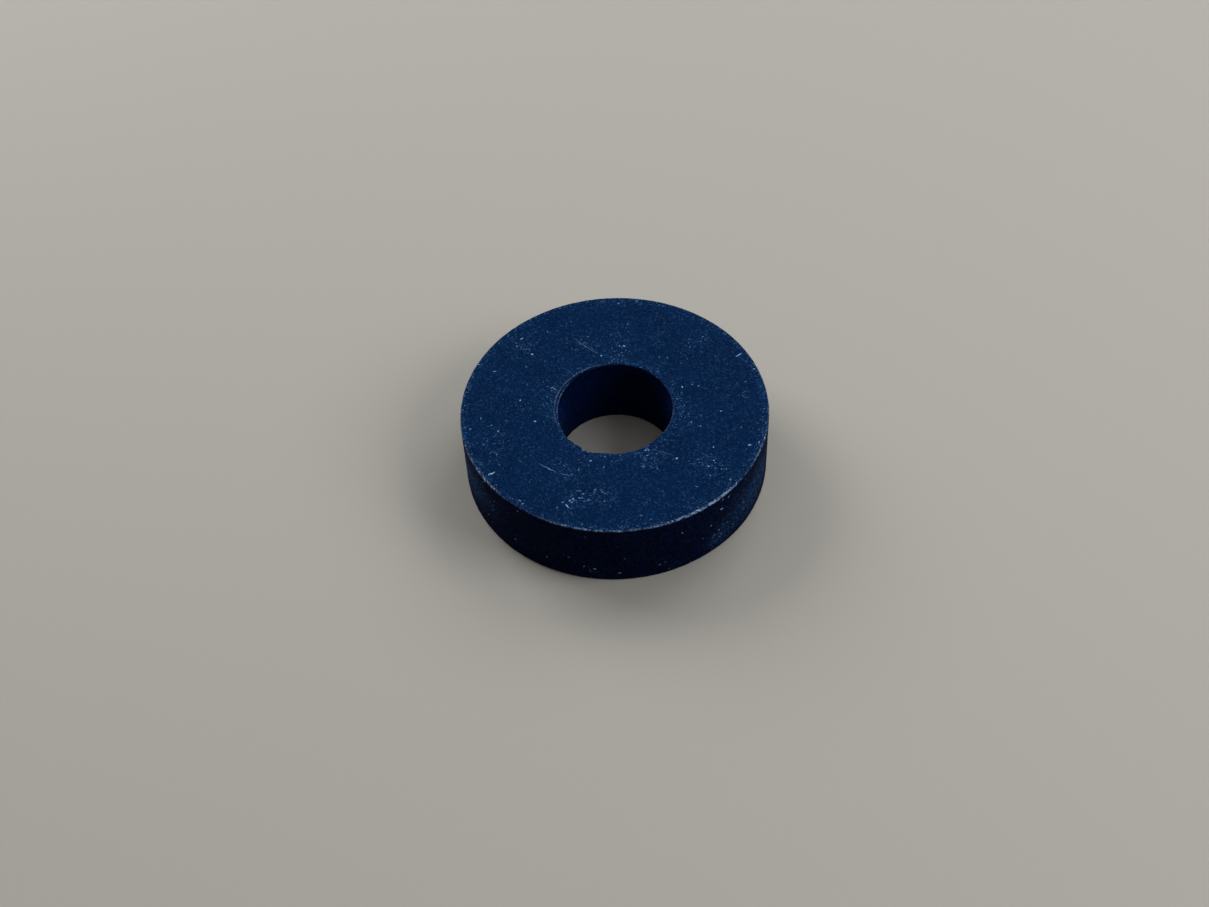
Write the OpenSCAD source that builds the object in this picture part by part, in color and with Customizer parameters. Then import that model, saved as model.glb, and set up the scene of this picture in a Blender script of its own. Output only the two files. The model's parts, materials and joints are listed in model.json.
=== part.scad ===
// Rubber ring: a thick washer punched from solid rubber, with a straight outer wall and a
// straight bore. It is one piece. The knife leaves a crisp outer rim, and the mouths of the
// bore are rolled over a little where the punch pressed into the rubber.
//
// Frame: +Z up along the bore axis, origin at the centre of the underside. Millimetres.

/* [Ring] */
// Diameter of the outer wall
outer_d = 32; // [24:0.5:60]
// Diameter of the bore
bore_d = 12; // [4:0.5:18]
// Height from the underside to the top face
thickness = 8.2; // [3:0.1:20]

/* [Edges] */
// Radius that breaks the outer rim, top and underside
outer_rim_r = 0.2; // [0.05:0.05:0.8]
// Radius of the rolled edge at both mouths of the bore
bore_rim_r = 0.2; // [0.05:0.05:1]

/* [Hidden] */

$fn = 180;

// Rubber, a very dark navy
rubber = [0.04, 0.13, 0.26];

// Radial width of the section, from the bore wall to the outer wall
section_w = (outer_d - bore_d) / 2;
// How far a corner cutter reaches past the faces that it trims
cutter_spill = 1;

// What a round-over of radius r takes off a square corner at the origin, with the
// material lying towards +X and +Y
module corner_waste(r) {
    difference() {
        translate([-cutter_spill, -cutter_spill]) square(r + cutter_spill);
        translate([r, r]) circle(r);
    }
}

// The two corners of one edge of the section, at its lower and upper end
module edge_waste(r) {
    corner_waste(r);
    translate([0, thickness]) mirror([0, 1]) corner_waste(r);
}

// Half section of the ring, drawn with its bore wall on the Y axis
module section() {
    difference() {
        square([section_w, thickness]);
        edge_waste(bore_rim_r);
        translate([section_w, 0]) mirror([1, 0]) edge_waste(outer_rim_r);
    }
}

// The whole ring: the section turned once about the bore axis
module ring() {
    color(rubber)
        rotate_extrude()
            translate([bore_d / 2, 0]) section();
}

ring();
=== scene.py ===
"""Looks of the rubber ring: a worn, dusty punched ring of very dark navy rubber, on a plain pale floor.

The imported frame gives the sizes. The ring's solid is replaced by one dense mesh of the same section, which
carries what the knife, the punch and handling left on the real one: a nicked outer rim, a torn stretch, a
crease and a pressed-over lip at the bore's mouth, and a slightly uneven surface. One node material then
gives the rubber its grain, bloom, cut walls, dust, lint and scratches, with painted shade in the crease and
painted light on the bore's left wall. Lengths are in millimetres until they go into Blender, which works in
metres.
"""

import json
import math

import bpy
from mathutils import Matrix, Vector, noise


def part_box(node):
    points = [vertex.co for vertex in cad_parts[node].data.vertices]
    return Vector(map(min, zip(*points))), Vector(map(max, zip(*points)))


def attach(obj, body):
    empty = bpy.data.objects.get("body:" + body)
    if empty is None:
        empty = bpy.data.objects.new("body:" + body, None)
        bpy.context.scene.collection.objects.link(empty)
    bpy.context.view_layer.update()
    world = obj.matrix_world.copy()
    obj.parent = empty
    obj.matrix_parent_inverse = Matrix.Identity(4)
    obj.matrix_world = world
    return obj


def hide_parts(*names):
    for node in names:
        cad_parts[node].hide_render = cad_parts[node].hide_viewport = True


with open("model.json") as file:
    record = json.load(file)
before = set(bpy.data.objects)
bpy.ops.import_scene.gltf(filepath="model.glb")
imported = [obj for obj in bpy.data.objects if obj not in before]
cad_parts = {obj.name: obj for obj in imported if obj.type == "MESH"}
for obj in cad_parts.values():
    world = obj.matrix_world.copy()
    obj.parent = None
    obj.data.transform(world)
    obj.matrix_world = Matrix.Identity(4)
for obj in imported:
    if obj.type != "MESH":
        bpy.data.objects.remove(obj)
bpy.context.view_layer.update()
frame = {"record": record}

MM = 0.001
# How far the surface must turn towards the axis, outwards, up or down to count as facing there
FACING = 0.3

# ---------------------------------------------------------------- sizes, from the frame
ring_low, ring_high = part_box("ring")
OUTER_R = (ring_high.x - ring_low.x) / 2 / MM
THICK = (ring_high.z - ring_low.z) / MM
BORE_R = next(m["dims"]["r_mm"] for m in frame["record"]["mounts"] if m["name"] == "bore")

# Round-overs of the section, as on the solid
RIM_R = 0.2
MOUTH_R = 0.2

# ---------------------------------------------------------------- wear, read off the photograph
# Ring angles are in degrees, from +X towards +Y, so -90 faces the camera.

# Where the outer rim is worn pale: angle, half width, how much
RIM_WEAR = [(-62, 17, 0.95), (-48, 8, 0.5), (-146, 8, 0.75), (-160, 14, 0.28), (-98, 16, 0.4),
            (-115, 8, 0.25), (-22, 12, 0.35), (165, 25, 0.18), (10, 10, 0.2)]
RIM_WEAR_ALL_ROUND = 0.05
# How deep the rim is worn all along, and how deep its nicks go
RIM_ROUNDED, NICK_DEPTH = 0.03, 0.16
# How far from the rim's corner its nicks reach, and the pale line, which is wider where the rim is worn more
NICK_REACH, PALE_START, PALE_WIDENING, PALE_REACH = 0.62, 0.04, 0.07, 0.15
# Where the bore's upper mouth is worn pale: angle, half width, how much
MOUTH_WEAR = [(-118, 22, 0.6), (-20, 30, 0.6), (180, 35, 0.4), (-75, 25, 0.25), (30, 30, 0.2)]
# Where the punch tore the bore's upper mouth outwards, or left it standing inwards where the depth is below
# zero: angle, half width, depth
TORN = [(-118, 15, 0.34), (-140, 20, 0.16), (-85, 40, 0.06), (65, 55, 0.12), (-45, 22, -0.08)]
# How far from the mouth's corner the tearing and its pale line reach
TEAR_REACH, MOUTH_PALE_REACH = 1.1, 0.2
# The thin lip that the punch pressed over into the bore: how far in, and how far it fades out and down
LIP_ANGLE, LIP_HALF_WIDTH, LIP_REACH = 167, 52, 0.25
LIP_FADE_OUT, LIP_FADE_DOWN = 0.9, 0.55
# The crease in the upper face round the bore's mouth, and how far off it the worn lines on either side lie
CREASE_ANGLE, CREASE_HALF_WIDTH, CREASE_R, CREASE_DEPTH = 135, 50, 6.06, 0.14
CREASE_WIDTH, CREASE_EDGE, CREASE_LINE, CREASE_PALE = 0.15, 0.17, 0.09, 0.17

# How deep the surface sinks in long waves, in ripples and, on the knife-cut walls, in drag marks
WAVE_SINK, RIPPLE_SINK, DRAG_SINK = 0.012, 0.004, 0.014

# How dusty the ring is away from its patches, how much that varies, and how much cleaner its walls are
DUST_LEVEL, DUST_VARIES = 0.16, 0.12
BORE_CLEANER, WALL_CLEANER = 0.14, 0.12
# What the upper face's rim and the bore's mouth gather besides, and how far from each
RIM_DUST, RIM_DUST_REACH = 0.35, 1.2
MOUTH_DUST, MOUTH_DUST_REACH = 0.28, 1.6
# Dusty patches on the outer wall: ring angle, height, reach and how much; each is wider than it is high
WALL_DUST = [(-36, 3.4, 5.2, 0.42), (-14, 4.5, 5.6, 0.3), (-52, 1.8, 1.8, 0.45), (-168, 4.6, 5.4, 0.5),
             (-150, 4.6, 4.0, 0.3), (40, 4.0, 5.5, 0.35), (120, 3.0, 6.0, 0.35), (-72, 1.0, 1.6, 0.15),
             (80, 6.0, 4.0, 0.25), (-100, 1.2, 2.0, 0.15), (-128, 1.6, 1.8, 0.15)]
WALL_PATCH_WIDENING = 1.6
# Dusty patches in the bore, which also paint light on its left wall: the same, and as wide as they are high
BORE_DUST_AND_LIGHT = [(172, 4.5, 4.5, 0.75), (20, 6.5, 3.0, 0.3)]
# Dusty patches on the upper face: x, y, reach and how much
TOP_DUST = [(-4.3, -11.9, 1.8, 0.9), (-1.5, -11.5, 2.2, 0.5), (0.5, 8.2, 2.6, 0.45), (-3.0, 9.4, 2.4, 0.4),
            (9.0, -8.0, 3.0, 0.5), (-7.5, 3.2, 2.0, 0.4), (7.2, -1.0, 2.2, 0.4), (3.4, -7.2, 2.4, 0.5),
            (-12.6, -4.0, 3.0, 0.3), (9.6, 8.8, 2.4, 0.4), (-5.0, -8.4, 2.6, 0.5), (-9.4, 9.6, 2.2, 0.35)]

# Lint and crumbs lying on the upper face: x, y, length, width, angle and brightness
LINT = [
    (-12.7, -7.9, 0.80, 0.17, 24, 1.0),
    (13.5, 6.5, 0.75, 0.14, 30, 1.0),
    (0.95, 8.65, 0.16, 0.13, 70, 0.6),
    (1.42, 8.72, 0.10, 0.19, 80, 1.0),
    (-8.4, 8.1, 0.05, 0.17, 0, 0.9),
    (-9.5, 10.5, 0.20, 0.16, 30, 0.7),
    (-10.0, 9.4, 0.25, 0.13, -50, 0.6),
    (-9.7, 1.7, 0.10, 0.17, 60, 0.8),
    (-8.2, -1.3, 0.08, 0.19, 0, 0.9),
    (-12.7, -1.5, 0.05, 0.13, 0, 0.6),
    (-14.9, -1.9, 0.05, 0.14, 0, 0.7),
    (-14.1, 7.1, 0.30, 0.12, -25, 0.6),
    (-12.4, 6.0, 0.35, 0.10, -20, 0.5),
    (7.2, 2.4, 0.10, 0.18, 60, 0.9),
    (8.3, 2.7, 0.18, 0.12, -10, 0.6),
    (8.9, 2.5, 0.12, 0.12, 20, 0.6),
    (11.0, -1.2, 0.06, 0.17, 0, 0.9),
    (9.8, -5.9, 0.06, 0.15, 0, 0.8),
    (6.0, -7.1, 0.12, 0.19, 0, 1.0),
    (9.7, -7.7, 0.06, 0.14, 0, 0.7),
    (2.9, -5.9, 0.20, 0.13, 25, 0.7),
    (13.5, -5.9, 0.25, 0.17, 30, 0.7),
    (14.4, -5.6, 0.15, 0.15, 60, 0.6),
    (-5.2, -12.5, 0.45, 0.13, -40, 0.9),
    (-4.6, -11.7, 0.15, 0.15, 60, 0.8),
    (-4.0, -11.6, 0.10, 0.15, 0, 0.7),
    (-2.7, -6.9, 0.25, 0.14, 35, 0.7),
    (1.1, 15.0, 0.08, 0.15, 0, 0.6),
    (8.4, 8.0, 0.06, 0.14, 0, 0.5),
    (-6.4, 3.2, 0.35, 0.10, 25, 0.6),
    (-6.1, 3.0, 0.30, 0.10, -35, 0.6),
    (-1.1, 7.4, 0.10, 0.14, 0, 0.7),
    (-9.9, -11.5, 0.25, 0.12, -30, 0.7),
    (-9.6, -11.9, 0.30, 0.11, -30, 0.6),
    (-5.6, -12.0, 0.12, 0.13, 20, 0.5),
    (-3.6, -11.1, 0.10, 0.13, 0, 0.6),
    (7.7, -10.9, 0.30, 0.10, -35, 0.5),
    (8.7, -3.1, 0.05, 0.13, 0, 0.6),
    (-1.4, -7.8, 0.20, 0.11, 80, 0.5),
    (-3.9, -8.0, 0.15, 0.11, 60, 0.5),
    (-12.0, -2.3, 0.10, 0.13, 30, 0.5),
    (-13.8, -0.5, 0.10, 0.12, 80, 0.5),
    (9.9, 9.4, 0.20, 0.11, 30, 0.5),
    (-5.3, 14.7, 0.06, 0.13, 0, 0.45),
    (-6.7, 11.3, 0.15, 0.11, -40, 0.45),
]
# Lint and crumbs on the outer wall: ring angle, height, length, width, tilt and brightness
WALL_LINT = [
    (-50.5, 6.2, 0.35, 0.18, 20, 0.9),
    (-47.0, 7.3, 0.25, 0.15, -40, 0.7),
    (-50.0, 7.6, 0.20, 0.14, 0, 0.6),
    (-53.8, 2.7, 0.20, 0.14, -30, 0.5),
    (-55.4, 4.6, 0.25, 0.13, -60, 0.55),
    (-67.7, 5.8, 0.20, 0.14, 50, 0.6),
    (-47.5, 3.2, 0.20, 0.12, 0, 0.45),
    (-44.1, 2.0, 0.25, 0.12, -20, 0.45),
    (-38.0, 3.9, 0.25, 0.12, 30, 0.45),
    (-51.8, 3.0, 0.20, 0.12, -60, 0.4),
    (-50.5, 2.0, 0.20, 0.12, 20, 0.4),
    (-59.0, 3.2, 0.12, 0.12, 0, 0.4),
    (-76.5, 1.7, 0.20, 0.13, -30, 0.5),
    (-74.4, 1.9, 0.10, 0.12, 0, 0.4),
    (-72.9, 0.6, 0.15, 0.12, 0, 0.4),
    (-91.2, 1.2, 0.20, 0.17, 0, 0.75),
    (-89.2, 3.6, 0.15, 0.12, 0, 0.35),
    (-100.1, 1.8, 0.25, 0.18, 20, 0.85),
    (-104.1, 2.0, 0.20, 0.14, -60, 0.6),
    (-102.0, 1.5, 0.10, 0.12, 0, 0.45),
    (-109.6, 3.1, 0.20, 0.14, 0, 0.55),
    (-111.5, 3.4, 0.10, 0.10, 0, 0.35),
    (-118.4, 2.0, 0.30, 0.12, -70, 0.5),
    (-103.0, 7.0, 0.12, 0.12, 0, 0.4),
    (-132.4, 2.2, 0.25, 0.14, -40, 0.5),
    (-147.2, 2.5, 0.25, 0.14, -50, 0.5),
    (-145.3, 1.7, 0.25, 0.12, -60, 0.4),
    (-148.3, 7.5, 0.30, 0.13, -30, 0.5),
    (-142.0, 6.1, 0.25, 0.12, -50, 0.4),
    (-129.5, 7.5, 0.30, 0.12, -60, 0.4),
]
# Light scratches on the upper face, each as its two ends: x, y, x, y and brightness
SCRATCHES = [
    (-8.1, -6.8, -6.0, -8.3, 0.5),
    (-6.0, -8.3, -4.6, -8.8, 0.35),
    (-4.0, 10.2, -1.5, 7.7, 0.28),
    (-2.4, 9.1, -1.3, 7.5, 0.2),
    (-1.9, -10.7, -1.1, -11.4, 0.4),
    (3.6, -5.7, 6.0, -6.9, 0.18),
]
SCRATCH_WIDTH = 0.07
# A loose curl of fibre near the right-hand rim, open towards the rim: x, y, radius and width of its line
CURL = (13.8, 0.9, 0.42, 0.09)
CURL_BRIGHT = 0.11
# How far the marks wander from their straight lines
WOBBLE = 0.3


# ---------------------------------------------------------------- small functions
def rgb(red, green, blue):
    """A colour given as 0 to 255 sRGB, as Blender's linear colour."""
    def linear(value):
        value /= 255
        return value / 12.92 if value <= 0.04045 else ((value + 0.055) / 1.055) ** 2.4
    return (linear(red), linear(green), linear(blue), 1.0)


def fade(distance, reach):
    """1 at no distance, falling smoothly to 0 at a distance of reach."""
    t = min(abs(distance) / reach, 1.0)
    return 1 - t * t * (3 - 2 * t)


def turn_between(a, b):
    """The angle between two ring angles, in degrees."""
    return abs((a - b + 180) % 360 - 180)


def rough(point, scale, seed=0.0):
    """Smooth noise from -1 to 1, with scale bumps to the millimetre."""
    return noise.noise(Vector(point) * scale + Vector((seed, 2 * seed, 3 * seed)))


def graded(length, fine, growth):
    """Distances from 0 to length, spaced finely at both ends and growing towards the middle."""
    steps, step, total = [], fine, 0.0
    while total + step < length / 2:
        steps.append(step)
        total += step
        step *= growth
    steps = [s * length / 2 / total for s in steps]
    steps += steps[::-1]
    return [sum(steps[:i]) for i in range(len(steps) + 1)]


# ---------------------------------------------------------------- the ring's mesh
ROUND_STEPS = 900
ARC_STEPS = 5
# Even, fine steps on the upper face beside the bore's mouth
COLLAR_STEPS, COLLAR_STEP = 10, 0.045
# The first step beside each edge
EDGE_STEP = 0.06


def section_points():
    """The section's outline as (radius, height, outward radius, outward height), once round it.

    It starts on the upper face at the bore's mouth and runs outwards, down, inwards and up again.
    """
    def flat(start, end, normal, growth):
        length = math.hypot(end[0] - start[0], end[1] - start[1])
        for d in graded(length, EDGE_STEP, growth)[:-1]:
            t = d / length
            yield (start[0] + t * (end[0] - start[0]), start[1] + t * (end[1] - start[1]), *normal)

    def arc(centre, radius, first_angle):
        for i in range(ARC_STEPS):
            a = math.radians(first_angle - 90 * i / ARC_STEPS)
            x, y = math.cos(a), math.sin(a)
            yield (centre[0] + radius * x, centre[1] + radius * y, x, y)

    mouth, rim = BORE_R + MOUTH_R, OUTER_R - RIM_R
    for i in range(COLLAR_STEPS):
        yield (mouth + i * COLLAR_STEP, THICK, 0, 1)
    yield from flat((mouth + COLLAR_STEPS * COLLAR_STEP, THICK), (rim, THICK), (0, 1), 1.3)
    yield from arc((rim, THICK - RIM_R), RIM_R, 90)
    yield from flat((OUTER_R, THICK - RIM_R), (OUTER_R, RIM_R), (1, 0), 1.3)
    yield from arc((rim, RIM_R), RIM_R, 0)
    yield from flat((rim, 0), (mouth, 0), (0, -1), 1.8)
    yield from arc((mouth, MOUTH_R), MOUTH_R, -90)
    yield from flat((BORE_R, MOUTH_R), (BORE_R, THICK - MOUTH_R), (-1, 0), 1.4)
    yield from arc((mouth, THICK - MOUTH_R), MOUTH_R, 180)


def rim_wear(angle):
    """How worn the outer rim is at a ring angle, from 0 to 1."""
    worn = sum(much * fade(turn_between(angle, at), 1.6 * half) for at, half, much in RIM_WEAR)
    return min(RIM_WEAR_ALL_ROUND + worn, 1.0)


def dust_and_light_at(point, out_r, out_z, angle):
    """How dusty a point is, in patches and a little more by the upper face's rims; the bore's patches also
    paint light.
    """
    x, y, height = point
    dust = DUST_LEVEL + DUST_VARIES * rough(point, 0.5, 17)
    if out_z > FACING:
        for at_x, at_y, reach, much in TOP_DUST:
            dust += much * 0.6 * fade(math.hypot(x - at_x, y - at_y), reach)
        dust += RIM_DUST * fade(OUTER_R - math.hypot(x, y), RIM_DUST_REACH)
        dust += MOUTH_DUST * fade(math.hypot(x, y) - BORE_R, MOUTH_DUST_REACH)
    elif out_r < -FACING:
        dust -= BORE_CLEANER
        # These patches also turn the bore's rubber bluer in the material, which paints light on its left
        # wall
        for at, level, reach, much in BORE_DUST_AND_LIGHT:
            along = math.radians(turn_between(angle, at)) * BORE_R
            dust += much * fade(math.hypot(along, height - level), reach)
    elif out_r > FACING:
        dust -= WALL_CLEANER
        for at, level, reach, much in WALL_DUST:
            along = math.radians(turn_between(angle, at)) * OUTER_R / WALL_PATCH_WIDENING
            dust += much * fade(math.hypot(along, height - level), reach)
    elif out_z < -FACING:
        dust += 0.15 + 0.25 * rough(point, 0.3, 23)
    return dust


def surface_at(radius, height, out_r, out_z, angle):
    """Where the worn surface lies at a point of the section, and how worn, dusty and dark it is there.

    Rubber is taken away from the outer faces and rims, so the mesh stays inside the solid's box. It is only
    ever added inside the bore, as the lip. The dark it gives the crease is painted shade, and the dust in
    the bore also paints light on its left wall.
    """
    a = math.radians(angle)
    point = (radius * math.cos(a), radius * math.sin(a), height)
    ragged = rough(point, 2.6, 11) + 0.45 * rough(point, 6.5, 5)
    slow = rough(point, 0.35, 3)

    # An even skin of shallow waves, rougher on the knife-cut walls
    upright = 1 - abs(out_z)
    sink = WAVE_SINK * (1 + rough(point, 0.16, 21)) + RIPPLE_SINK * (1 + rough(point, 1.5, 8))
    sink += upright * DRAG_SINK * (1 + rough((point[0], point[1], height * 0.5), 1.9, 31))
    radius -= sink * out_r
    height -= sink * out_z

    # Nicks along the outer rims, deepest where the rim is worn most
    worn = 0.0
    for rim_height, share in ((THICK, 1.0), (0.0, 0.5)):
        away = math.hypot(radius - OUTER_R, height - rim_height)
        close = fade(away, NICK_REACH)
        if close > 0:
            amount = share * rim_wear(angle)
            nick = max(0.0, ragged - 0.15 + 0.5 * slow) * amount
            depth = close * (RIM_ROUNDED * amount + NICK_DEPTH * nick)
            radius -= depth
            height -= depth * (1 if rim_height else -1)
            broken = max(0.0, 1 + 1.8 * ragged)
            pale = min(1.0, 0.75 * amount * broken + 1.5 * nick)
            start = PALE_START + PALE_WIDENING * amount
            worn = max(worn, fade(max(away - start, 0.0), PALE_REACH) * pale)

    # The bore's upper mouth, torn outwards in places and ragged there
    away = math.hypot(radius - BORE_R, height - THICK)
    close = fade(away, TEAR_REACH)
    if close > 0:
        torn = sum(depth * fade(turn_between(angle, at), half) for at, half, depth in TORN)
        jag = close * torn * (0.8 + 0.55 * ragged) + 0.03 * close * ragged
        radius += jag
        height -= 0.3 * max(jag, 0.0)
        pale = sum(much * fade(turn_between(angle, at), half) for at, half, much in MOUTH_WEAR)
        worn = max(worn, pale * fade(away, MOUTH_PALE_REACH) * (0.5 + 0.8 * ragged))

    # The lip standing into the bore, and the crease beside the mouth with painted shade in it and a worn
    # line on either side
    lip = fade(turn_between(angle, LIP_ANGLE), LIP_HALF_WIDTH)
    if lip > 0 and height > THICK - 0.6:
        reach = LIP_REACH * lip * (1 + 0.3 * ragged)
        radius -= reach * fade(max(radius - BORE_R, 0.0), LIP_FADE_OUT) * fade(THICK - height, LIP_FADE_DOWN)
    crease = min(1.0, 1.8 * fade(turn_between(angle, CREASE_ANGLE), CREASE_HALF_WIDTH))
    dark = 0.0
    if max(crease, lip) > 0 and out_z > FACING:
        off = radius - CREASE_R - 0.04 * ragged
        height -= CREASE_DEPTH * crease * fade(off, CREASE_WIDTH)
        # Painted shade: the crease is coloured most of the way towards the dark rubber of the outer wall
        dark = 0.7 * crease * fade(off, CREASE_WIDTH)
        line = fade(abs(off) - CREASE_EDGE, CREASE_LINE)
        worn = max(worn, CREASE_PALE * (1 + ragged) * max(crease, lip) * line)

    # Dust, but none in the crease, whose dark is painted shade; the knife-cut wall is dark all over
    dust = dust_and_light_at(point, out_r, out_z, angle) * (1 - dark)
    if out_r > FACING >= out_z:
        dark = 1.0
    return radius, height, worn, min(max(dust, 0.0), 1.0), dark


MAP_GAP = 0.7
MAP_SIZE = 4 * OUTER_R + 3 * MAP_GAP


def map_place(point, out_r, out_z, radius, angle):
    """Where a point lies on the flat map, which is to scale, with MAP_SIZE millimetres to its side.

    It holds the two faces side by side as discs, then the outer wall in two strips, then the bore.
    """
    if abs(out_z) >= 0.5 ** 0.5:
        x = OUTER_R + MAP_GAP + (0 if out_z > 0 else 2 * OUTER_R + MAP_GAP) + point[0]
        return x / MAP_SIZE, (OUTER_R + MAP_GAP + point[1]) / MAP_SIZE
    turn = angle % 360
    if out_r > 0:
        strip, along = divmod(turn / 360, 0.5)
        x = MAP_GAP + 2 * math.pi * OUTER_R * along
    else:
        strip, x = 2, MAP_GAP + 2 * math.pi * BORE_R * turn / 360
    base = 2 * OUTER_R + 2 * MAP_GAP + strip * (THICK + MAP_GAP)
    return x / MAP_SIZE, (base + point[2]) / MAP_SIZE


def ring_mesh():
    """The worn ring as one closed mesh, with wear, dust, flatness and dark rubber and painted shade as
    attributes.
    """
    outline = list(section_points())
    count = len(outline)
    places, worn, dust, flat, cut = [], [], [], [], []
    for i in range(ROUND_STEPS):
        angle = 360 * i / ROUND_STEPS
        a = math.radians(angle)
        for radius, height, out_r, out_z in outline:
            r, z, wear, dirt, dark = surface_at(radius, height, out_r, out_z, angle)
            places.append((r * math.cos(a), r * math.sin(a), z))
            worn.append(wear)
            dust.append(dirt)
            flat.append(abs(out_z))
            cut.append(dark)
    faces = []
    for i in range(ROUND_STEPS):
        here, there = i * count, (i + 1) % ROUND_STEPS * count
        for j in range(count):
            k = (j + 1) % count
            faces.append((here + j, here + k, there + k, there + j))
    mesh = bpy.data.meshes.new("ring_rubber")
    mesh.from_pydata([tuple(c * MM for c in p) for p in places], [], faces)
    for name, values in (("worn", worn), ("dust", dust), ("flat", flat), ("cut", cut)):
        mesh.attributes.new(name, "FLOAT", "POINT").data.foreach_set("value", values)

    # Each face goes whole onto the part of the map that its middle belongs to
    layer = mesh.uv_layers.new(name="OFBake")
    spots = []
    for i in range(ROUND_STEPS):
        for j in range(count):
            k = (j + 1) % count
            out_r = (outline[j][2] + outline[k][2]) / 2
            out_z = (outline[j][3] + outline[k][3]) / 2
            radius = (outline[j][0] + outline[k][0]) / 2
            base = 360 * i / ROUND_STEPS
            step = 360 / ROUND_STEPS * 0.999999
            for vertex, angle in zip(faces[i * count + j], (base, base, base + step, base + step)):
                spots += map_place(places[vertex], out_r, out_z, radius, angle)
    layer.data.foreach_set("uv", spots)
    mesh.shade_smooth()
    mesh.update()
    return mesh


# ---------------------------------------------------------------- node helpers
class Nodes:
    """Adds nodes to a material's tree, each call giving the new node's output."""

    def __init__(self, tree):
        self.tree = tree

    def put(self, target, value):
        """Links value into an input if it is an output, and sets it there otherwise."""
        if isinstance(value, bpy.types.NodeSocket):
            self.tree.links.new(value, target)
        else:
            target.default_value = value

    def add(self, kind, inputs=(), **settings):
        node = self.tree.nodes.new(kind)
        for name, value in settings.items():
            setattr(node, name, value)
        for name, value in dict(inputs).items():
            self.put(node.inputs[name], value)
        return node

    def math(self, operation, a, b=0.0, c=0.0):
        inputs = {0: a, 1: b, 2: c}
        return self.add("ShaderNodeMath", inputs, operation=operation).outputs[0]

    def total(self, *values):
        result = values[0]
        for value in values[1:]:
            result = self.math("ADD", result, value)
        return result

    def times(self, *values):
        result = values[0]
        for value in values[1:]:
            result = self.math("MULTIPLY", result, value)
        return result

    def ramp(self, value, low, high, to_low=0.0, to_high=1.0):
        """Carries low..high to to_low..to_high, smoothly and never past them."""
        inputs = {"Value": value, "From Min": low, "From Max": high, "To Min": to_low, "To Max": to_high}
        return self.add("ShaderNodeMapRange", inputs, interpolation_type="SMOOTHSTEP").outputs["Result"]

    def attribute(self, name):
        return self.add("ShaderNodeAttribute", attribute_name=name).outputs["Fac"]

    def stretch(self, point, scale, turn=(0, 0, 0), shift=(0, 0, 0)):
        """Shifts and turns a point, and then scales it."""
        inputs = {"Vector": point, "Scale": [1 / s for s in scale], "Rotation": turn, "Location": shift}
        return self.add("ShaderNodeMapping", inputs, vector_type="TEXTURE").outputs[0]

    def noise(self, point, scale, detail=2.0, roughness=0.5, distortion=0.0):
        inputs = {"Vector": point, "Scale": scale, "Detail": detail, "Roughness": roughness,
                  "Distortion": distortion}
        return self.add("ShaderNodeTexNoise", inputs).outputs[0]

    def specks(self, point, scale, size, share):
        """Separate round specks with a radius of size cells, in a share of the cells, unequally bright."""
        cells = self.add("ShaderNodeTexVoronoi", {"Vector": point, "Scale": scale, "Randomness": 1.0})
        chance = self.add("ShaderNodeSeparateColor", {0: cells.outputs["Color"]})
        kept = self.math("LESS_THAN", chance.outputs[0], share)
        spot = self.ramp(cells.outputs["Distance"], size * 0.55, size, 1.0, 0.0)
        bright = self.math("MULTIPLY_ADD", chance.outputs[1], 0.6, 0.4)
        return self.times(kept, spot, bright)

    def mix(self, share, a, b, blend="MIX"):
        node = self.add("ShaderNodeMix", data_type="RGBA", blend_type=blend)
        self.put(node.inputs[0], share)
        self.put(node.inputs[6], a)
        self.put(node.inputs[7], b)
        return node.outputs[2]


# ---------------------------------------------------------------- materials
BLOOM = rgb(0, 31, 68)           # the upper face and the underside
BLOOM_DEEP = rgb(0, 26, 60)
BLOOM_HAZE = rgb(5, 44, 86)
BLOOM_PIT = rgb(0, 16, 40)
BORE = rgb(0, 15, 44)            # the punched bore
# Bluer rubber in the bore: a mottle, and painted light on the left wall where the bore's patches lie
BORE_BLUE = rgb(2, 31, 98)
CUT = rgb(0, 4, 17)              # the knife-cut outer wall
CUT_BLUE = rgb(0, 12, 56)
DUST_BLUE = rgb(48, 80, 122)     # a film of dust, tinted by the rubber under it
DUST_WALL = rgb(14, 60, 112)
DUST_WISP = rgb(64, 114, 170)
DUST_PALE = rgb(148, 190, 240)
WORN_BLUE = rgb(140, 168, 204)

# Scales of the rubber's noises, in bumps to the millimetre
CLOUD_SCALE, MOTTLE_SCALE, WALL_SCALE = 0.22, 1.9, 2.6
SPECKLE_SCALE, GRAIN_SCALE, CURL_SCALE = 4.6, 6.0, 2.2
# How far loose dust is shifted off its even cells
JITTER = 0.35
# How dust specks are stretched into fibres, and the directions in which those lie, in radians
FIBRE_STRETCH = (0.6, 1.9, 0.8)
FIBRE_TURNS = (0.3, 1.2, 2.1, 2.8)
SHEEN = 0.018
RELIEF_STRENGTH, RELIEF_DEPTH = 0.5, 0.06

FLOOR_COLOUR = rgb(178, 175, 168)
# The floor turns into the backdrop between these distances from the ring, in metres
FLOOR_NEAR, FLOOR_FAR = 0.12, 0.28


def speck(n, point, middle, turn, half, bright):
    """A soft-edged speck of half sizes half about its middle, turned by the angles in turn."""
    inputs = {"Vector": point, "Location": middle, "Rotation": turn, "Scale": half}
    local = n.add("ShaderNodeMapping", inputs, vector_type="TEXTURE").outputs[0]
    away = n.add("ShaderNodeVectorMath", {0: local}, operation="LENGTH").outputs["Value"]
    return n.ramp(away, 0.6, 1.0, bright, 0.0)


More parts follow.
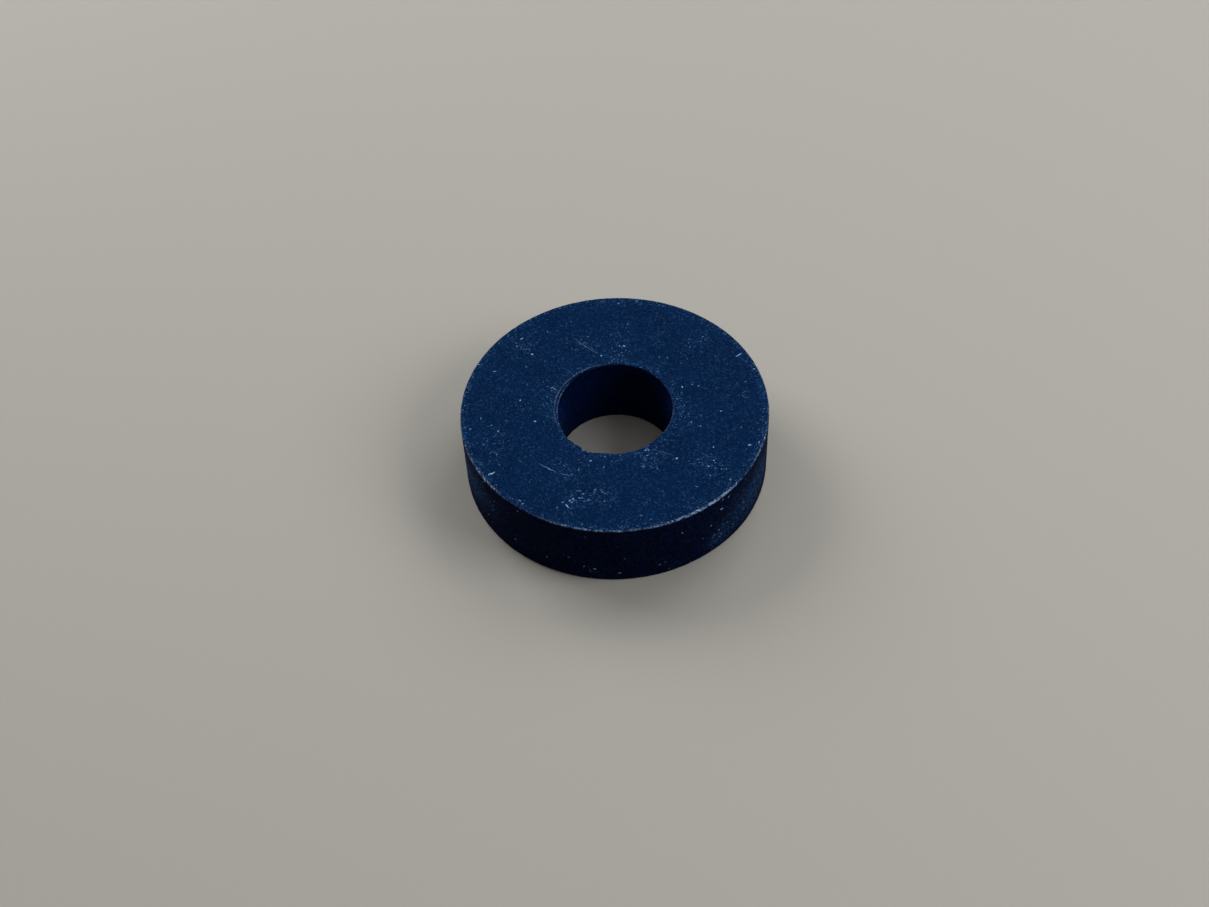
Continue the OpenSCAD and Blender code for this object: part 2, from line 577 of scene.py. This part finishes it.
def wall_marks(n, point):
    """The lint and crumbs that hang on the outer wall, as one amount from 0 to 1."""
    amount = 0.0
    for angle, height, length, width, tilt, bright in WALL_LINT:
        a = math.radians(angle)
        middle = (OUTER_R * math.cos(a), OUTER_R * math.sin(a), height)
        turn = (0, math.radians(tilt), a + math.pi / 2)
        half = ((length + width) / 2, RIM_R, width / 2)
        amount = n.math("MAXIMUM", speck(n, point, middle, turn, half, bright), amount)
    return amount


def surface_marks(n, point):
    """The lint, crumbs, scratches and curl that lie on the upper face, as one amount from 0 to 1."""
    bars = list(LINT)
    for x0, y0, x1, y1, bright in SCRATCHES:
        length = math.hypot(x1 - x0, y1 - y0)
        angle = math.degrees(math.atan2(y1 - y0, x1 - x0))
        bars.append(((x0 + x1) / 2, (y0 + y1) / 2, length, SCRATCH_WIDTH, angle, bright))
    wobble = n.add("ShaderNodeTexNoise", {"Vector": point, "Scale": 2.2, "Detail": 1.0}).outputs["Color"]
    bent = n.add("ShaderNodeVectorMath", {0: wobble, 1: (WOBBLE, WOBBLE, 0), 2: point},
                 operation="MULTIPLY_ADD").outputs[0]
    amount = 0.0
    for x, y, length, width, angle, bright in bars:
        middle = (x + WOBBLE / 2, y + WOBBLE / 2, THICK)
        half = ((length + width) / 2, width / 2, OUTER_R)
        turn = (0, 0, math.radians(angle))
        amount = n.math("MAXIMUM", speck(n, bent, middle, turn, half, bright), amount)
    x, y, radius, width = CURL
    middle = (x + WOBBLE / 2, y + WOBBLE / 2, THICK)
    away = n.add("ShaderNodeVectorMath", {0: bent, 1: middle}, operation="DISTANCE").outputs["Value"]
    off_line = n.math("ABSOLUTE", n.math("SUBTRACT", away, radius))
    across = n.add("ShaderNodeSeparateXYZ", {0: bent}).outputs[0]
    closed = n.ramp(across, middle[0], middle[0] + radius, 1.0, 0.0)
    curl = n.times(n.ramp(off_line, width / 4, width, CURL_BRIGHT, 0.0), closed)
    return n.math("MAXIMUM", curl, amount)


def rubber_material():
    """The ring's one material: rubber, then dust and marks, then worn rims, with their gloss and relief."""
    material = bpy.data.materials.new("navy_rubber")
    material.use_nodes = True
    tree = material.node_tree
    shader = tree.nodes["Principled BSDF"]
    n = Nodes(tree)

    metres = n.add("ShaderNodeTexCoord").outputs["Object"]
    point = n.add("ShaderNodeVectorMath", {0: metres, "Scale": 1 / MM}, operation="SCALE").outputs[0]
    height = n.add("ShaderNodeSeparateXYZ", {0: point}).outputs[2]
    flat = n.attribute("flat")
    dust = n.attribute("dust")
    worn = n.attribute("worn")
    # Dark rubber: all of the knife-cut outer wall, and painted shade in the crease beside the bore's mouth
    cut = n.attribute("cut")

    # Patterns that the colours and the relief share, from the broadest to the finest
    cloud = n.noise(point, CLOUD_SCALE, 3.0, 0.6)
    mottle = n.noise(point, MOTTLE_SCALE, 4.0, 0.65)
    wall_mottle = n.noise(point, WALL_SCALE, 4.0, 0.7, 0.5)
    speckle = n.noise(point, SPECKLE_SCALE, 2.0, 0.75)
    grain = n.noise(point, GRAIN_SCALE, 3.0, 0.65)

    # Rubber: bluish bloom on the two faces, deeper in the bore, blacker where the knife cut the outer wall
    face = n.mix(n.ramp(cloud, 0.3, 0.7), BLOOM_DEEP, BLOOM)
    face = n.mix(n.times(n.ramp(mottle, 0.45, 0.75), 0.35), face, BLOOM_HAZE)
    face = n.mix(n.ramp(speckle, 0.50, 0.68, 0.0, 0.5), face, BLOOM_HAZE)
    face = n.mix(n.ramp(speckle, 0.44, 0.28, 0.0, 0.5), face, BLOOM_PIT)
    wall = n.mix(n.ramp(wall_mottle, 0.36, 0.72), CUT, CUT_BLUE)
    # In the bore the rubber turns bluer where its patches lie, which paints light on the bore's left wall
    bore_blue = n.times(n.ramp(mottle, 0.36, 0.60), n.ramp(speckle, 0.36, 0.60, 0.4, 1.0))
    bore = n.mix(n.times(bore_blue, n.ramp(dust, 0.0, 0.9, 0.25, 1.0)), BORE, BORE_BLUE)
    face = n.mix(n.ramp(flat, 0.9, 0.4), face, bore)
    # The dark wall colour also fills the crease beside the bore's mouth, as painted shade
    colour = n.mix(cut, face, wall)

    # Dust: a thin film in patches, with fine flecks in it
    film = n.times(n.ramp(grain, 0.42, 0.68), n.ramp(mottle, 0.35, 0.62))
    film_share = n.times(film, flat, n.ramp(dust, 0.05, 0.95, 0.0, 0.25))
    flecks = n.ramp(n.total(speckle, n.times(dust, 0.11)), 0.66, 0.76)
    fleck_share = n.times(flecks, n.ramp(dust, 0.0, 0.7, 0.08, 0.8))
    colour = n.mix(n.math("MAXIMUM", film_share, fleck_share), colour, DUST_BLUE)
    wall_film = n.times(n.ramp(wall_mottle, 0.36, 0.64, 0.12, 1.0), n.ramp(speckle, 0.38, 0.64, 0.35, 1.0))
    colour = n.mix(n.times(wall_film, cut, n.ramp(dust, 0.15, 0.9, 0.0, 1.0)), colour, DUST_WALL)

    # Fine curled wisps, which follow the lines where a bent noise crosses its middle
    curls = n.noise(point, CURL_SCALE, 1.0, 0.5, 1.6)
    off_line = n.math("ABSOLUTE", n.math("SUBTRACT", curls, 0.5))
    wisps = n.times(n.ramp(off_line, 0.05, 0.012), n.ramp(speckle, 0.46, 0.58), n.math("MAXIMUM", flat, cut))
    wisp_share = n.times(wisps, n.ramp(dust, 0.0, 0.6, 0.08, 0.6), n.ramp(flat, 0.4, 0.9, 1.0, 0.8))
    colour = n.mix(wisp_share, colour, DUST_WISP)

    # Short fibres lying every way, grains and a few crumbs; the bore and the outer wall hold fewer
    jitter = n.add("ShaderNodeTexNoise", {"Vector": point, "Scale": 3.5, "Detail": 1.0}).outputs["Color"]
    loose = n.add("ShaderNodeVectorMath", {0: jitter, 1: (JITTER, JITTER, JITTER), 2: point},
                  operation="MULTIPLY_ADD").outputs[0]
    fibres = 0.0
    for i, turn in enumerate(FIBRE_TURNS):
        along = n.stretch(loose, FIBRE_STRETCH, (0, 0, turn), (3 * i, 0, 0))
        fibres = n.math("MAXIMUM", fibres, n.specks(along, 2.4, 0.23, 0.32))
    grains = n.specks(loose, 2.2, 0.20, 0.30)
    crumbs = n.specks(loose, 1.0, 0.13, 0.40)
    held = n.math("MAXIMUM", n.ramp(flat, 0.3, 0.8, 0.25, 1.0), n.times(cut, 0.4))
    crumbs_held = n.math("MAXIMUM", held, n.times(cut, 0.6))
    fibre_share = n.times(fibres, n.ramp(dust, 0.05, 0.6, 0.04, 0.36), held)
    grain_share = n.times(grains, n.ramp(dust, 0.05, 0.6, 0.06, 0.65), held)
    crumb_share = n.times(crumbs, n.ramp(dust, 0.05, 0.6, 0.16, 0.9), crumbs_held)

    # The lint, crumbs and scratches that the photograph shows one by one
    marks = n.times(surface_marks(n, point), flat, n.ramp(height, THICK - 0.5, THICK - 0.2))
    marks = n.math("MAXIMUM", marks, n.times(wall_marks(n, point), cut))
    speck_share = fibre_share
    for share in (grain_share, crumb_share, n.times(marks, 0.95)):
        speck_share = n.math("MAXIMUM", speck_share, share)
    colour = n.mix(speck_share, colour, DUST_PALE)

    # The worn rims show a paler, bluer rubber with dust caught in it
    frayed = n.times(worn, n.ramp(grain, 0.42, 0.58, 0.1, 1.8))
    colour = n.mix(n.math("MINIMUM", frayed, 0.9), colour, WORN_BLUE)
    n.put(shader.inputs["Base Color"], colour)

    # Gloss: a dull sheen, duller on the cut wall and where dust lies
    uneven = n.times(n.math("SUBTRACT", mottle, 0.5), 0.25)
    dull = n.total(0.5, uneven, n.times(cut, 0.2), n.times(speck_share, 0.3))
    n.put(shader.inputs["Roughness"], n.math("MINIMUM", dull, 1.0))
    shader.inputs["Specular IOR Level"].default_value = SHEEN

    # Relief: rubber grain, coarser on the cut wall, with grains of dust standing on it
    relief = n.total(n.times(grain, 0.4), n.times(mottle, n.math("MULTIPLY_ADD", cut, 1.0, 0.45)),
                     n.times(wall_mottle, cut, 1.2), n.times(grains, 0.5))
    raised = {"Height": relief, "Strength": RELIEF_STRENGTH, "Distance": RELIEF_DEPTH * MM}
    bump = n.add("ShaderNodeBump", raised)
    tree.links.new(bump.outputs[0], shader.inputs["Normal"])
    return material


def floor_material():
    """A plain pale floor, which the camera sees turn into the backdrop far from the ring."""
    material = bpy.data.materials.new("plain_floor")
    material.use_nodes = True
    tree = material.node_tree
    shader = tree.nodes["Principled BSDF"]
    shader.inputs["Base Color"].default_value = FLOOR_COLOUR
    shader.inputs["Roughness"].default_value = 0.95
    shader.inputs["Specular IOR Level"].default_value = 0.05
    n = Nodes(tree)
    point = n.add("ShaderNodeTexCoord").outputs["Object"]
    away = n.add("ShaderNodeVectorMath", {0: point}, operation="LENGTH").outputs["Value"]
    seen = n.add("ShaderNodeLightPath").outputs["Is Camera Ray"]
    far = n.times(seen, n.ramp(away, FLOOR_NEAR, FLOOR_FAR))
    backdrop = n.add("ShaderNodeEmission", {"Color": FLOOR_COLOUR, "Strength": 1.0})
    shown = n.add("ShaderNodeMixShader", {0: far, 1: shader.outputs[0], 2: backdrop.outputs[0]})
    tree.links.new(shown.outputs[0], tree.nodes["Material Output"].inputs["Surface"])
    return material


# ---------------------------------------------------------------- the ring
ring = bpy.data.objects.new("ring_rubber", ring_mesh())
bpy.context.collection.objects.link(ring)
ring.data.materials.append(rubber_material())
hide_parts("ring")
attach(ring, "root")

# ---------------------------------------------------------------- floor, in metres
FLOOR_HALF = 1.5
FLOOR_DROP = 0.02 * MM  # keeps the floor just clear of the underside


def floor():
    mesh = bpy.data.meshes.new("floor")
    corners = [(-1, -1), (1, -1), (1, 1), (-1, 1)]
    places = [(x * FLOOR_HALF, y * FLOOR_HALF, -FLOOR_DROP) for x, y in corners]
    mesh.from_pydata(places, [], [(0, 1, 2, 3)])
    plane = bpy.data.objects.new("floor", mesh)
    bpy.context.collection.objects.link(plane)
    mesh.materials.append(floor_material())


floor()


# ---------------------------------------------------------------- light, in metres
LAMP_DISTANCE = 0.4
LAMP_SIZE = 0.23


def area_lamp(name, azimuth, elevation, share):
    """A square lamp that faces the ring; azimuth is a ring angle, in degrees.

    The share is what the lamp adds to the floor, where 1 in all shows a colour as it is written.
    """
    a, e = math.radians(azimuth), math.radians(elevation)
    data = bpy.data.lights.new(name, "AREA")
    data.size = LAMP_SIZE
    data.energy = share * (math.pi * LAMP_DISTANCE) ** 2 / math.sin(e)
    lamp = bpy.data.objects.new(name, data)
    away = Vector((math.cos(a) * math.cos(e), math.sin(a) * math.cos(e), math.sin(e)))
    lamp.location = away * LAMP_DISTANCE
    lamp.rotation_euler = away.to_track_quat("Z", "Y").to_euler()
    lamp.visible_camera = False
    bpy.context.collection.objects.link(lamp)


# Directions and shares follow the shadow round the ring on the photograph's board
area_lamp("back_left", 135, 33, 0.28)
area_lamp("right", -17, 38, 0.27)
area_lamp("back_right", 54, 41, 0.175)

# The room's own light, dimmer on the photograph's side than behind the ring, and what the ceiling adds
ROOM_FRONT, ROOM_BACK, CEILING = 0.07, 0.34, 0.18

scene = bpy.context.scene
scene.world = bpy.data.worlds.new("studio")
scene.world.use_nodes = True
w = Nodes(scene.world.node_tree)
background = scene.world.node_tree.nodes["Background"]
background.inputs["Color"].default_value = (1, 1, 1, 1)
direction = w.add("ShaderNodeSeparateXYZ", {0: w.add("ShaderNodeTexCoord").outputs["Generated"]}).outputs
room = w.ramp(direction[1], -0.6, 0.6, ROOM_FRONT, ROOM_BACK)
w.put(background.inputs["Strength"], w.total(room, w.ramp(direction[2], 0.7, 0.95, 0.0, CEILING)))
backdrop = w.add("ShaderNodeBackground", {"Color": FLOOR_COLOUR, "Strength": 1.0})
seen = w.add("ShaderNodeLightPath").outputs["Is Camera Ray"]
shown = w.add("ShaderNodeMixShader", {0: seen, 1: background.outputs[0], 2: backdrop.outputs[0]})
world_output = scene.world.node_tree.nodes["World Output"]
w.put(world_output.inputs["Surface"], shown.outputs[0])

# ---------------------------------------------------------------- camera
# Fitted to the ring's outlines in the photograph, 1209 x 907 pixels with a focal length of about 1750
PHOTO_WIDTH = 1209
FOCAL_PIXELS = 1750
SENSOR_WIDTH = 36
CAMERA_AT = (-1.25, -118.67, 144.91)
LOOKS_DOWN, ROLL = 50.52, -2.93

camera = bpy.data.objects.new("camera", bpy.data.cameras.new("camera"))
camera.data.sensor_width = SENSOR_WIDTH
camera.data.lens = SENSOR_WIDTH * FOCAL_PIXELS / PHOTO_WIDTH
camera.data.clip_start = 0.01
camera.matrix_world = (Matrix.Translation(Vector(CAMERA_AT) * MM)
                       @ Matrix.Rotation(math.radians(90 - LOOKS_DOWN), 4, "X")
                       @ Matrix.Rotation(math.radians(ROLL), 4, "Z"))
bpy.context.collection.objects.link(camera)
scene.camera = camera
scene.view_settings.view_transform = "Standard"
